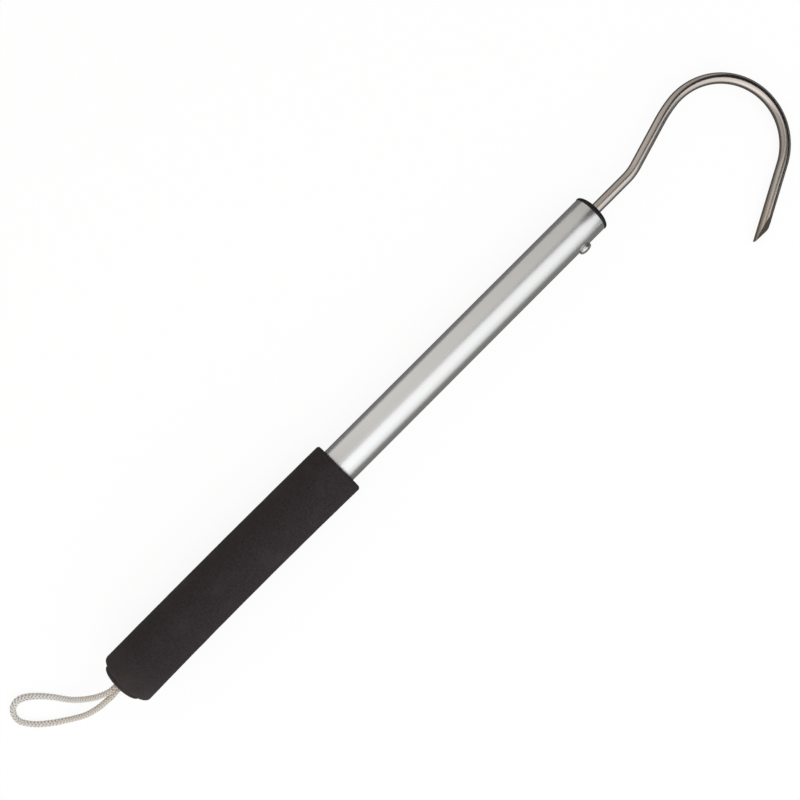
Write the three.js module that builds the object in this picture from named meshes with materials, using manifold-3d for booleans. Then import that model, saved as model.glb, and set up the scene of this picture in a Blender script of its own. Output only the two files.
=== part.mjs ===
// A short one-handed fishing gaff, as it lies on its side on a floor: a bent steel hook in an
// aluminium tube, with a foam grip at its rear and a wrist cord out of the end cap.
// Millimetres, +X from the grip towards the hook, +Z up, the floor at z = 0.
// The pieces are drawn in the shaft's own frame first: the shaft's axis is X, the hook lies in the
// XY plane with its point on the -Y side, and x = 0 is the grip's front face.
import * as THREE from "three";
import { mergeVertices } from "three/addons/utils/BufferGeometryUtils.js";
import Module from "manifold-3d";

const wasm = await Module();
wasm.setup();

// Fits
const fitGap = 0.3; // between pieces that are pushed into, or laid against, each other
const cutOverrun = 1; // how far a cutting body runs past the face that it opens

// Shaft tube, 28 x 1.5 aluminium
const tubeDiameter = 28;
const tubeWall = 1.5;
const exposedLength = 250; // from the grip's front face to the tube's mouth

// Foam grip on the rear of the tube
const gripDiameter = 41;
const gripLength = 207;
const gripFrontRadius = 2; // of the edge round the front face
const gripRearRadius = 4; // of the edge round the rear face

// Moulded plug in the tube's mouth
const plugDepth = 42;
const plugLipOverhang = 0.3; // past the tube's outside
const plugLipThickness = 0.7;
const plugDomeHeight = 4.2;

// Hook, one bent wire. Each turn is seen from above the hook's plane.
const wireDiameter = 8;
const shankDepth = 45; // behind the tube's mouth
const shankReach = 36.3; // straight in front of the tube's mouth
const heelRadius = 40;
const heelTurn = 16.6; // degrees, away from the point
const throatLength = 35.8;
const easeRadius = 100;
const easeTurn = 9.2; // degrees, back towards the point
const bowRadius = 46.5;
const bowTurn = 159.1; // degrees, back towards the point
const pointLegLength = 60.4; // from the end of the bow to the tip
const outerFacetLength = 12.5; // the steep facet on the outside of the point
const sideFacetLength = 22.5; // the two long facets beside it
const sideFacetTurn = 53; // degrees, from the outside of the hook to each side

// Pan-head tapping screw, 4.8 mm, that holds the hook and the plug
const screwDiameter = 4.8;
const screwSetback = 19.9; // behind the tube's mouth
const screwTurn = 9; // degrees, up from the hook's plane
const screwHeadDiameter = 10;
const screwHeadHeight = 3;
const screwHeadRim = 0.9; // the straight side under the head's crown
const screwPointLength = 3.5;
const screwPastShank = 2; // the point's reach beyond the hook's shank
const recessLength = 6.2; // of each arm of the cross
const recessWidth = 1.3;
const recessDepth = 1.9;
const recessTurn = 45; // degrees, from the shaft's line to an arm

// Moulded cap in the rear end of the tube
const capDepth = 18;
const capWall = 2.7;
const capRimOverhang = 1.4; // past the tube's outside
const capRimThickness = 1.9;
const capDomeHeight = 3.9;
const capEndWall = 5; // from the hollow's floor to the top of the dome

// Wrist cord and the knot that holds it
const cordDiameter = 4;
const cordSpacing = 4.5; // between the middles of the two legs in the cap's hole
const cordHoleGap = 0.45; // round the two legs
const cordPairTilt = 55; // degrees, from level to the line through both legs
const cordStraight = 4; // how far each leg runs straight out of the cap
const knotDiameter = 13;
const knotLength = 9;

// How finely round shapes are divided
const roundSides = 48;
const wireSides = 20;
const smallSides = 24;
const cordSides = 8;
const wireSteps = 76;
const domeSteps = 7;
const cornerSteps = 4;
const cordStepDiameters = 2;

// The cord's way from the upper leg round to the lower one, chosen by hand. Each point is the
// distance along and across from the middle of the cap's hole, and the height over the floor.
const cordRoute = [
  [-8.1, 2.0, 26.3], [-11.6, 3.2, 24.7], [-16.2, 5.0, 21.9], [-21.9, 7.9, 17.6],
  [-28.2, 11.8, 12.4], [-33.8, 16.0, 7.8], [-38.6, 20.9, 4.2], [-42.8, 26.1, 2.3],
  [-47.1, 31.4, 2.15], [-51.4, 35.9, 2.15], [-56.4, 40.1, 2.15], [-62.2, 42.8, 2.15],
  [-67.8, 41.9, 2.15], [-71.4, 37.5, 2.15], [-71.9, 32.2, 2.15], [-69.6, 27.5, 2.15],
  [-65.4, 22.2, 2.15], [-60.2, 17.5, 2.15], [-54.2, 12.9, 2.15], [-47.9, 8.8, 2.5],
  [-41.6, 5.3, 5.0], [-34.6, 2.1, 8.9], [-27.2, 0.1, 13.5], [-20.2, -1.0, 17.7],
  [-13.7, -1.4, 21.0], [-8.6, -1.7, 23.0],
];

// Sizes worked out from those above
const tubeRadius = tubeDiameter / 2;
const tubeBoreRadius = tubeRadius - tubeWall;
const gripRadius = gripDiameter / 2;
const wireRadius = wireDiameter / 2;
const cordRadius = cordDiameter / 2;
const plugBodyRadius = tubeBoreRadius - fitGap;
const plugLipRadius = tubeRadius + plugLipOverhang;
const plugLipFront = fitGap + plugLipThickness;
const screwHoleRadius = screwDiameter / 2 + fitGap;
const screwTipReach = wireRadius + screwPastShank;
const capRimRadius = tubeRadius + capRimOverhang;
const capRimBack = fitGap + capRimThickness;
const capApex = capRimBack + capDomeHeight;
const capHollowFloor = capApex - capEndWall;
const cordHoleRadius = cordSpacing / 2 + cordRadius + cordHoleGap;

const xAxis = new THREE.Vector3(1, 0, 0);
const yAxis = new THREE.Vector3(0, 1, 0);
const zAxis = new THREE.Vector3(0, 0, 1);

// A body turned about X. The outline is a closed list of [place along X, radius], taken forwards
// along the outside and back along the bore, or from the axis to the axis.
function turned(outline, sides) {
  const points = outline.map(([along, radius]) => new THREE.Vector2(radius, along));
  return new THREE.LatheGeometry(points, sides).rotateZ(-Math.PI / 2);
}

// Points on a quarter ellipse from (along, radius), flat at the side, up to where it meets innerRadius.
function domeOutline(along, radius, height, innerRadius) {
  const end = Math.acos(innerRadius / radius);
  const points = [];
  for (let i = 0; i <= domeSteps; i++) {
    const angle = (end * i) / domeSteps;
    points.push([along + height * Math.sin(angle), radius * Math.cos(angle)]);
  }
  return points;
}

// Points on a rounded corner about a middle point, from one angle to another, in degrees from +X.
function cornerOutline(along, radius, cornerRadius, fromAngle, toAngle) {
  const points = [];
  for (let i = 0; i <= cornerSteps; i++) {
    const angle = THREE.MathUtils.degToRad(fromAngle + ((toAngle - fromAngle) * i) / cornerSteps);
    points.push([along + cornerRadius * Math.cos(angle), radius + cornerRadius * Math.sin(angle)]);
  }
  return points;
}

function positionsOnly(geometry) {
  const bare = geometry.clone();
  bare.deleteAttribute("normal");
  bare.deleteAttribute("uv");
  return mergeVertices(bare);
}

function toSolid(geometry) {
  const merged = positionsOnly(geometry);
  return new wasm.Manifold(new wasm.Mesh({
    numProp: 3,
    vertProperties: new Float32Array(merged.attributes.position.array),
    triVerts: new Uint32Array(merged.index.array),
  }));
}

function toGeometry(solid) {
  const mesh = solid.getMesh();
  const geometry = new THREE.BufferGeometry();
  geometry.setAttribute("position", new THREE.BufferAttribute(new Float32Array(mesh.vertProperties), 3));
  geometry.setIndex(new THREE.BufferAttribute(new Uint32Array(mesh.triVerts), 1));
  geometry.computeVertexNormals();
  return geometry;
}

function cutFrom(geometry, cutters) {
  const rest = cutters.reduce((body, cutter) => body.subtract(toSolid(cutter)), toSolid(geometry));
  return toGeometry(rest);
}

function finish(color, roughness, metalness) {
  return new THREE.MeshStandardMaterial({ color, roughness, metalness });
}

function named(name, geometry, material) {
  const mesh = new THREE.Mesh(geometry, material);
  mesh.name = name;
  return mesh;
}

// The screw's line, in a frame whose origin is the middle of the tube's mouth. It is written as a
// turn of a body that points along +X.
const screwOut = new THREE.Vector3(0, -1, 0).applyAxisAngle(xAxis, -THREE.MathUtils.degToRad(screwTurn));
const screwLine = new THREE.Matrix4().compose(
  new THREE.Vector3(-screwSetback, 0, 0),
  new THREE.Quaternion().setFromUnitVectors(xAxis, screwOut),
  new THREE.Vector3(1, 1, 1),
);

// A hole along the screw's line, from and to a distance out of the shaft's axis.
function screwHole(from, to) {
  const hole = new THREE.CylinderGeometry(screwHoleRadius, screwHoleRadius, to - from, smallSides);
  hole.rotateZ(-Math.PI / 2).translate((from + to) / 2, 0, 0);
  return hole.applyMatrix4(screwLine);
}

function makeTube() {
  const length = gripLength + exposedLength;
  const outline = [
    [-length, tubeBoreRadius], [-length, tubeRadius], [-exposedLength, tubeRadius],
    [0, tubeRadius], [0, tubeBoreRadius], [-length, tubeBoreRadius],
  ];
  const pipe = turned(outline, roundSides);
  const wallHole = screwHole(tubeBoreRadius - cutOverrun, tubeRadius + cutOverrun);
  return named("shaft_tube", cutFrom(pipe, [wallHole]), finish(0xc4c6c9, 0.34, 0.9));
}

function makeGrip() {
  const bore = tubeRadius + fitGap;
  const outline = [
    [-gripLength, bore],
    ...cornerOutline(gripRearRadius - gripLength, gripRadius - gripRearRadius, gripRearRadius, 180, 90),
    ...cornerOutline(-gripFrontRadius, gripRadius - gripFrontRadius, gripFrontRadius, 90, 0),
    [0, bore],
    [-gripLength, bore],
  ];
  return named("foam_grip", turned(outline, roundSides), finish(0x2f2b2c, 0.95, 0));
}

function makePlug() {
  const bore = wireRadius + fitGap;
  const outline = [
    [-plugDepth, bore], [-plugDepth, plugBodyRadius], [fitGap, plugBodyRadius],
    [fitGap, plugLipRadius],
    ...domeOutline(plugLipFront, plugLipRadius, plugDomeHeight, bore),
    [-plugDepth, bore],
  ];
  const body = turned(outline, roundSides);
  const hole = screwHole(-screwTipReach - fitGap, plugBodyRadius + cutOverrun);
  return named("hook_plug", cutFrom(body, [hole]), finish(0x1b181a, 0.5, 0));
}

// The hook's middle line. Its origin is the middle of the tube's mouth, and heading is in degrees
// from +X towards +Y.
function hookLine() {
  const path = new THREE.CurvePath();
  const at = new THREE.Vector3(-shankDepth, 0, 0);
  let heading = 0;
  const ahead = () => xAxis.clone().applyAxisAngle(zAxis, THREE.MathUtils.degToRad(heading));
  const run = (length) => {
    const next = at.clone().addScaledVector(ahead(), length);
    path.add(new THREE.LineCurve3(at.clone(), next));
    at.copy(next);
  };
  const bend = (radius, turn) => {
    const side = Math.sign(turn);
    const start = at.clone();
    const middle = at.clone().addScaledVector(yAxis.clone().applyAxisAngle(zAxis,
      THREE.MathUtils.degToRad(heading)), side * radius);
    const arc = new THREE.Curve();
    arc.getPoint = (share, target = new THREE.Vector3()) => target.copy(start).sub(middle)
      .applyAxisAngle(zAxis, THREE.MathUtils.degToRad(turn * share)).add(middle);
    path.add(arc);
    at.copy(arc.getPoint(1));
    heading += turn;
  };
  run(shankDepth + shankReach);
  bend(heelRadius, heelTurn);
  run(throatLength);
  bend(easeRadius, -easeTurn);
  bend(bowRadius, -bowTurn);
  run(pointLegLength);
  return { path, tip: at, along: ahead() };
}

// A large block whose flat side lies on a plane, on the side that the normal points to.
function blockBeyond(point, normal, size) {
  const block = new THREE.BoxGeometry(size, size, size);
  block.applyQuaternion(new THREE.Quaternion().setFromUnitVectors(zAxis, normal));
  const middle = point.clone().addScaledVector(normal, size / 2);
  return block.translate(middle.x, middle.y, middle.z);
}

// The three ground facets of the point. The steep one ends on the inside of the wire, and the two
// long ones meet the wire's middle line at the tip.
function pointCutters(tip, along) {
  const outward = along.clone().applyAxisAngle(zAxis, Math.PI / 2);
  const innerTip = tip.clone().addScaledVector(outward, -wireRadius);
  const steep = Math.atan2(wireDiameter, outerFacetLength);
  const shallow = Math.atan2(wireRadius, sideFacetLength);
  const facing = (away, slope) => away.clone().multiplyScalar(Math.cos(slope))
    .addScaledVector(along, Math.sin(slope));
  const size = pointLegLength;
  const cutters = [blockBeyond(innerTip, facing(outward, steep), size)];
  for (const side of [1, -1]) {
    const turn = THREE.MathUtils.degToRad(side * sideFacetTurn);
    const away = outward.clone().applyAxisAngle(along, turn);
    cutters.push(blockBeyond(tip, facing(away, shallow), size));
  }
  return cutters;
}

function roundShape(radius, sides) {
  const corners = [];
  for (let i = 0; i < sides; i++) {
    const angle = (2 * Math.PI * i) / sides;
    corners.push(new THREE.Vector2(radius * Math.cos(angle), radius * Math.sin(angle)));
  }
  return new THREE.Shape(corners);
}

function makeHook() {
  const { path, tip, along } = hookLine();
  const wire = new THREE.ExtrudeGeometry(roundShape(wireRadius, wireSides), {
    extrudePath: path,
    steps: wireSteps,
  });
  const shankHole = screwHole(-wireRadius - cutOverrun, wireRadius + cutOverrun);
  const shape = cutFrom(wire, [shankHole, ...pointCutters(tip, along)]);
  return named("hook", shape, finish(0xb4ada6, 0.3, 0.9));
}

function makeScrew() {
  const seat = tubeRadius + fitGap;
  const shank = screwDiameter / 2;
  const headRadius = screwHeadDiameter / 2;
  const crown = domeOutline(seat + screwHeadRim, headRadius, screwHeadHeight - screwHeadRim, 0);
  const outline = [
    [-screwTipReach, 0], [screwPointLength - screwTipReach, shank], [seat, shank],
    [seat, headRadius], ...crown,
  ];
  const top = seat + screwHeadHeight;
  const recesses = [[recessLength, recessWidth], [recessWidth, recessLength]].map(([wide, deep]) => {
    const slot = new THREE.BoxGeometry(recessDepth + cutOverrun, wide, deep);
    slot.rotateX(THREE.MathUtils.degToRad(recessTurn));
    return slot.translate(top - recessDepth + (recessDepth + cutOverrun) / 2, 0, 0);
  });
  const body = cutFrom(turned(outline, smallSides), recesses);
  const screw = named("hook_screw", body, finish(0xb9b8b6, 0.3, 0.95));
  screw.applyMatrix4(screwLine);
  return screw;
}

// The cap and the knot are drawn pointing forwards from the tube's rear end, and turned round.
function makeCap() {
  const body = tubeBoreRadius - fitGap;
  const hollow = body - capWall;
  const outline = [
    [-capDepth, hollow], [-capDepth, body], [fitGap, body], [fitGap, capRimRadius],
    ...domeOutline(capRimBack, capRimRadius, capDomeHeight, cordHoleRadius),
    [capHollowFloor, cordHoleRadius], [capHollowFloor, hollow], [-capDepth, hollow],
  ];
  return named("end_cap", turned(outline, roundSides), finish(0x1b181a, 0.5, 0));
}

function makeKnot() {
  const back = capHollowFloor - fitGap;
  const radius = knotDiameter / 2;
  const round = radius - cordHoleRadius;
  const outline = [
    [back - knotLength, 0],
    ...cornerOutline(back - knotLength + round, cordHoleRadius, round, 180, 90),
    ...cornerOutline(back - round, cordHoleRadius, round, 90, 0),
    [back, 0],
  ];
  return named("lanyard_knot", turned(outline, smallSides), finish(0xcbc7c1, 0.9, 0));
}

// How the shaft lies: on the edge of the grip's front, on the plug's lip, and on the hook's leg.
// Pitch is the nose-down angle of the line that touches the first two.
function restPose() {
  const edgeX = -gripFrontRadius;
  const edgeDrop = gripRadius - gripFrontRadius;
  const lipX = exposedLength + plugLipFront;
  const span = Math.hypot(lipX - edgeX, edgeDrop - plugLipRadius);
  const pitch = Math.atan2(edgeDrop - plugLipRadius, lipX - edgeX) + Math.asin(gripFrontRadius / span);
  const height = edgeX * Math.sin(pitch) + edgeDrop * Math.cos(pitch) + gripFrontRadius;
  // The shaft rolls until the hook's underside meets the floor. Near the tip the long facets cut the
  // underside away, so only the wire behind them counts.
  const { path } = hookLine();
  const cutBack = sideFacetLength * Math.sin(THREE.MathUtils.degToRad(sideFacetTurn));
  const wholeShare = 1 - cutBack / path.getLength();
  let lean = 1;
  for (let i = 1; i <= wireSteps; i++) {
    const place = path.getPointAt((wholeShare * i) / wireSteps);
    if (place.y > -wireDiameter) continue;
    const clear = height - (exposedLength + place.x) * Math.sin(pitch) - wireRadius;
    lean = Math.min(lean, clear / (-place.y * Math.cos(pitch)));
  }
  return { pitch, height, roll: Math.asin(lean) };
}

// The wrist cord, from the knot through the cap's hole, round its loop and back to the knot.
function makeCord(holeMiddle, inward) {
  const across = yAxis;
  const up = across.clone().cross(inward).negate().normalize();
  const tilt = THREE.MathUtils.degToRad(cordPairTilt);
  const toUpper = across.clone().multiplyScalar(Math.cos(tilt)).addScaledVector(up, Math.sin(tilt))
    .multiplyScalar(cordSpacing / 2);
  const ends = [capEndWall, capEndWall / 2, -cordStraight / 2, -cordStraight];
  const leg = (side) => ends.map((depth) => holeMiddle.clone().addScaledVector(inward, depth)
    .addScaledVector(toUpper, side));
  const loop = cordRoute.map(([x, y, z]) => new THREE.Vector3(holeMiddle.x + x, holeMiddle.y + y, z));
  const line = new THREE.CatmullRomCurve3([...leg(1), ...loop, ...leg(-1).reverse()], false, "centripetal");
  const steps = Math.round(line.getLength() / (cordStepDiameters * cordDiameter));
  const tube = new THREE.ExtrudeGeometry(roundShape(cordRadius, cordSides), { extrudePath: line, steps });
  return named("lanyard", tube, finish(0xcbc7c1, 0.9, 0));
}

const mouth = new THREE.Group();
mouth.position.x = exposedLength;
mouth.add(makeTube(), makePlug(), makeHook(), makeScrew());

const tail = new THREE.Group();
tail.position.x = -gripLength;
tail.rotation.z = Math.PI;
tail.add(makeCap(), makeKnot());

const rest = restPose();
const shaft = new THREE.Group();
shaft.rotation.order = "YXZ";
shaft.rotation.set(rest.roll, rest.pitch, 0);
shaft.position.z = rest.height;
shaft.add(mouth, makeGrip(), tail);

// The origin is on the floor, under the middle of the gaff without its cord.
const gaff = new THREE.Group();
gaff.add(shaft);
gaff.updateMatrixWorld(true);
const extent = new THREE.Box3().setFromObject(shaft, true);
shaft.position.x -= (extent.min.x + extent.max.x) / 2;
shaft.position.y -= (extent.min.y + extent.max.y) / 2;
shaft.position.z -= extent.min.z;
gaff.updateMatrixWorld(true);

const holeMiddle = tail.localToWorld(new THREE.Vector3(capApex, 0, 0));
const inward = new THREE.Vector3(-1, 0, 0).transformDirection(tail.matrixWorld);
gaff.add(makeCord(holeMiddle, inward));

export default gaff;
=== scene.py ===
import bmesh
import bpy
import math
import numpy as np
from mathutils import Matrix, Vector, noise


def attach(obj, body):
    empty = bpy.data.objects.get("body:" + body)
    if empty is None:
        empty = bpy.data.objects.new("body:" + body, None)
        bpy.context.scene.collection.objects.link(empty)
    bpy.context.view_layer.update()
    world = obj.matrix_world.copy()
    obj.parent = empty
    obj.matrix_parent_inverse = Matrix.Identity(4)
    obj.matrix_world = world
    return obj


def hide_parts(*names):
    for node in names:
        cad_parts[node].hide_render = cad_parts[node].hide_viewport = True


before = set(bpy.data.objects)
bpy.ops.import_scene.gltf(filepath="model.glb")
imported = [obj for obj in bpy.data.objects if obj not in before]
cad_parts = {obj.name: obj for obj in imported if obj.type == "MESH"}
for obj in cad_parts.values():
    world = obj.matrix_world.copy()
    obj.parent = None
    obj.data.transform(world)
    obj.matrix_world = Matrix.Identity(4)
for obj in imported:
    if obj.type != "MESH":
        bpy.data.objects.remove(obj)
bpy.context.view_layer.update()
print("frame loaded")

# All sizes are metres, angles are degrees unless a name says otherwise.
# Pieces are drawn along the shaft first: x along its axis from the grip's front face towards the
# hook, z square to the hook's plane. Then they are put where the frame's own shaft lies.


def nodePoints(name):
    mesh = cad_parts[name].data
    points = np.zeros(len(mesh.vertices) * 3)
    mesh.vertices.foreach_get("co", points)
    return np.unique(points.reshape(-1, 3).round(7), axis=0)


def shaftPlace():
    # the grip gives the axis and its front face, the hook's bow gives the plane
    bowReach, besideShank = 0.09, 0.05
    grip, hook = nodePoints("foam_grip"), nodePoints("hook")
    middle = grip.mean(axis=0)
    along = np.linalg.svd(grip - middle, full_matrices=False)[2][0]
    along *= np.sign((hook.mean(axis=0) - middle) @ along)
    reach = ((grip - middle) @ along).max()
    beyond = (hook - middle) @ along
    bow = hook[(beyond > beyond.max() - bowReach) & (hook[:, 1] > hook[:, 1].min() + besideShank)]
    upward = np.linalg.svd(bow - bow.mean(axis=0), full_matrices=False)[2][2]
    upward *= np.sign(upward[2])
    upward -= (upward @ along) * along
    upward /= np.linalg.norm(upward)
    columns = [along, np.cross(upward, along), upward, middle + along * reach]
    place = Matrix.Identity(4)
    for column, values in enumerate(columns):
        for row in range(3):
            place[row][column] = values[row]
    return place


shaft = shaftPlace()

shaftSizes = {
    "tubeRadius": 0.014,
    "tubeWall": 0.0015,
    "mouth": 0.250,  # the tube's front end
    "rear": -0.207,  # the rear end of tube and grip
    "edgeBreak": 0.00025,
    "sides": 192,
}


def onShaft(x, y=0.0, z=0.0):
    return shaft @ Vector((x, y, z))


# Camera, where the photograph was taken from
cameraValues = {
    "place": (-0.06493, 0.04084, 0.994),
    "aim": (-0.03241, 0.04084, 0.0),
    "turn": 45.0,  # how far the row's X axis rises to the right in the picture
    "lens": 63.0,
}


def makeCamera(values):
    camera = bpy.data.cameras.new("camera")
    camera.lens = values["lens"]
    camera.sensor_width = 36.0
    camera.clip_start = 0.01
    holder = bpy.data.objects.new("camera", camera)
    bpy.context.scene.collection.objects.link(holder)
    place = Vector(values["place"])
    forward = (Vector(values["aim"]) - place).normalized()
    along = (Vector((1, 0, 0)) - forward * forward.x).normalized()
    right = Matrix.Rotation(math.radians(values["turn"]), 3, forward) @ along
    upward = right.cross(forward)
    turned = Matrix((right, upward, -forward)).transposed()
    holder.matrix_world = Matrix.Translation(place) @ turned.to_4x4()
    bpy.context.scene.camera = holder


makeCamera(cameraValues)
print("camera placed")


# Node graphs. A Field wraps a socket, so sums of Fields and numbers add their Math nodes.
class Field:
    def __init__(self, graph, node, output=0):
        self.graph, self.node, self.socket = graph, node, node.outputs[output]

    def out(self, output):
        return Field(self.graph, self.node, output)

    def math(self, operation, first, second=None):
        values = {0: first} if second is None else {0: first, 1: second}
        return self.graph.add("ShaderNodeMath", {"operation": operation}, values)

    def __add__(self, other):
        return self.math("ADD", self, other)

    def __sub__(self, other):
        return self.math("SUBTRACT", self, other)

    def __rsub__(self, other):
        return self.math("SUBTRACT", other, self)

    def __mul__(self, other):
        return self.math("MULTIPLY", self, other)

    def __truediv__(self, other):
        return self.math("DIVIDE", self, other)

    def __mod__(self, other):
        return self.math("MODULO", self, other)

    __radd__ = __add__
    __rmul__ = __mul__

    def cosine(self):
        return self.math("COSINE", self)

    def sine(self):
        return self.math("SINE", self)

    def floor(self):
        return self.math("FLOOR", self)


class Graph:
    def __init__(self, tree):
        self.tree = tree

    def add(self, kind, settings=None, values=None, output=0):
        node = self.tree.nodes.new(kind)
        for name, value in (settings or {}).items():
            if name == "stops":
                self.setStops(node.color_ramp.elements, value)
            else:
                setattr(node, name, value)
        for key, value in (values or {}).items():
            if isinstance(value, Field):
                self.tree.links.new(value.socket, node.inputs[key])
            else:
                node.inputs[key].default_value = value
        return Field(self, node, output)

    def setStops(self, elements, stops):
        while len(elements) < len(stops):
            elements.new(0.5)
        for element, (position, level) in zip(elements, stops):
            element.position = position
            element.color = (level, level, level, 1)

    def vector(self, operation, first, second=None, output=0):
        values = {0: first} if second is None else {0: first, 1: second}
        return self.add("ShaderNodeVectorMath", {"operation": operation}, values, output)

    def scaled(self, vector, amount):
        values = {0: vector, "Scale": amount}
        return self.add("ShaderNodeVectorMath", {"operation": "SCALE"}, values)

    def joined(self, x, y, z=0.0):
        return self.add("ShaderNodeCombineXYZ", None, {0: x, 1: y, 2: z})

    def mixed(self, share, first, second):
        node = self.add("ShaderNodeMix", {"data_type": "RGBA"}, {0: share, 6: first, 7: second})
        return node.out(2)

    def ramp(self, share, *stops):
        return self.add("ShaderNodeValToRGB", {"stops": stops}, {0: share})

    def noise(self, vector, scale, detail=2.0, roughness=0.5):
        values = {"Vector": vector, "Scale": scale, "Detail": detail, "Roughness": roughness}
        return self.add("ShaderNodeTexNoise", None, values)

    def bump(self, height, strength, distance):
        values = {"Height": height, "Strength": strength, "Distance": distance}
        return self.add("ShaderNodeBump", None, values)

    def store(self, geometry, name, value):
        settings = {"data_type": "FLOAT", "domain": "POINT"}
        values = {"Geometry": geometry, "Name": name, "Value": value}
        return self.add("GeometryNodeStoreNamedAttribute", settings, values)

    def together(self, *parts):
        both = self.add("GeometryNodeJoinGeometry")
        for part in parts:
            self.tree.links.new(part.socket, both.node.inputs[0])
        return both


def newMaterial(name):
    material = bpy.data.materials.new(name)
    material.use_nodes = True
    graph = Graph(material.node_tree)
    shader = next(n for n in material.node_tree.nodes if n.type == "BSDF_PRINCIPLED")
    return material, graph, shader


def feed(graph, shader, **sockets):
    for name, value in sockets.items():
        label = {"color": "Base Color", "gloss": "Specular IOR Level"}.get(name, name.capitalize())
        socket = shader.inputs[label]
        if isinstance(value, Field):
            graph.tree.links.new(value.socket, socket)
        else:
            socket.default_value = value


def grey(level):
    return (level, level, level, 1.0)


# Metal that was drawn through a die: fine lines along the piece, in the piece's own wrap map, which
# holds metres round and metres along
def drawnMetal(name, values):
    material, graph, shader = newMaterial(name)
    wrap = graph.add("ShaderNodeUVMap", {"uv_map": "wrap"})
    split = graph.add("ShaderNodeSeparateXYZ", None, {0: wrap})
    around, along = split.out(0), split.out(1)
    place = graph.add("ShaderNodeTexCoord").out("Object")

    def streaks(kind, detail):
        stretched = graph.joined(around / values[kind + "Width"], along / values[kind + "Length"])
        return graph.noise(stretched, 1.0, detail)

    lines, broad = streaks("line", 3.0), streaks("band", 2.0)
    smudge = graph.noise(place, 1.0 / values["smudgeSize"], 3.0, 0.6)
    limit = values["markLimit"]
    marks = graph.ramp(streaks("mark", 1.0), (limit, 0.0), (limit + 0.03, 1.0))
    tone = graph.ramp(lines * 0.5 + broad * 0.5, (0.32, 0.0), (0.68, 1.0))
    color = graph.mixed(tone, values["dark"], values["light"])
    color = graph.mixed(marks * values["markShow"], color, values["markColor"])
    if "stain" in values:
        beyond = (along - values["stainStart"]) / values["stainReach"]
        stained = graph.ramp(beyond, (0.0, 0.0), (1.0, 1.0))
        color = graph.mixed(stained, color, graph.vector("MULTIPLY", color, values["stain"]))
    rough = values["roughness"] + (lines - 0.5) * values["lineRoughness"]
    rough = rough + (smudge - 0.5) * values["smudgeRoughness"] + marks * 0.1
    height = lines * 0.7 + broad * 0.3 - marks * 0.6
    bump = graph.bump(height, values["bump"], values["bumpHeight"])
    feed(graph, shader, color=color, roughness=rough, normal=bump, metallic=values["metallic"])
    return material


def blackPlastic(name, values):
    material, graph, shader = newMaterial(name)
    place = graph.add("ShaderNodeTexCoord").out("Object")
    grain = graph.noise(place, 1.0 / values["grainSize"], 3.0, 0.6)
    cloud = graph.noise(place, 1.0 / values["cloudSize"], 2.0)
    color = graph.mixed(cloud, values["dark"], values["light"])
    rough = values["roughness"] + (cloud - 0.5) * 0.12 + (grain - 0.5) * 0.1
    bump = graph.bump(grain, values["bump"], values["grainSize"] * 0.2)
    feed(graph, shader, color=color, roughness=rough, normal=bump, gloss=values["gloss"])
    return material


def gripFoam(values):
    material, graph, shader = newMaterial("closedCellFoam")
    place = graph.add("ShaderNodeTexCoord").out("Object")
    cells = graph.add("ShaderNodeTexVoronoi", {"feature": "F1"}, {
        "Vector": place, "Scale": 1.0 / values["cellSize"],
    })
    mottle = graph.noise(place, 1.0 / values["mottleSize"], 4.0, 0.65)
    scuff = graph.noise(place, 1.0 / values["scuffSize"], 3.0, 0.55)
    color = graph.mixed(graph.ramp(mottle, (0.3, 0.0), (0.7, 1.0)), values["dark"], values["light"])
    color = graph.mixed(graph.ramp(scuff, (0.5, 0.0), (0.8, 1.0)) * 0.5, color, values["worn"])
    along = graph.add("ShaderNodeSeparateXYZ", None, {0: place})
    rubbed = graph.ramp((along - values["rearEnd"]) / values["rubbedLength"], (0.0, 1.0), (1.0, 0.0))
    color = graph.mixed(rubbed * scuff * 0.7, color, values["rubbed"])
    bump = graph.bump(cells * 0.5 + mottle, values["bump"], values["cellSize"] * 0.5)
    rough = values["roughness"] + mottle * 0.12
    feed(graph, shader, color=color, roughness=rough, normal=bump, gloss=values["gloss"])
    return material


def cordYarn(values):
    material, graph, shader = newMaterial("braidedYarn")
    along = graph.add("ShaderNodeAttribute", {"attribute_name": "yarnAlong"}).out("Fac")
    across = graph.add("ShaderNodeAttribute", {"attribute_name": "yarnAcross"}).out("Fac")
    lift = graph.add("ShaderNodeAttribute", {"attribute_name": "yarnLift"}).out("Fac")
    reach = graph.add("ShaderNodeAttribute", {"attribute_name": "cordReach"}).out("Fac")
    # the filaments lie at a small slant to the yarn
    slant = across * values["filaments"] + along / values["twistLength"]
    filaments = graph.noise(graph.joined(slant, along / values["filamentLength"]), 1.0, 2.0)
    place = graph.add("ShaderNodeTexCoord").out("Object")
    cloud = graph.noise(place, 1.0 / values["cloudSize"], 3.0)
    color = graph.mixed(graph.ramp(filaments, (0.25, 0.0), (0.75, 1.0)), values["shade"], values["light"])
    # the cord is coloured darker and browner over a stretch from the cap along each leg, a longer stretch
    # on the lower leg
    color = graph.mixed(graph.ramp(reach + (cloud - 0.5) * 0.2, (0.0, 1.0), (1.0, 0.0)) * 0.8,
                        color, values["endTone"])
    # painted shade: the colour darkens towards the groove shade colour where a strand sinks under the
    # others and towards its sides, and the core between the strands takes that colour fully
    crest = 0.5 - (across * (2 * math.pi)).cosine() * 0.5
    hollow = graph.ramp(lift * 0.45 + crest * 0.55, (0.45, 1.0), (0.90, 0.0))
    color = graph.mixed(hollow * values["hollowShade"], color, values["deep"])
    bump = graph.bump(filaments, values["bump"], values["filamentHeight"])
    feed(graph, shader, color=color, roughness=values["roughness"], normal=bump)
    return material


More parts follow.
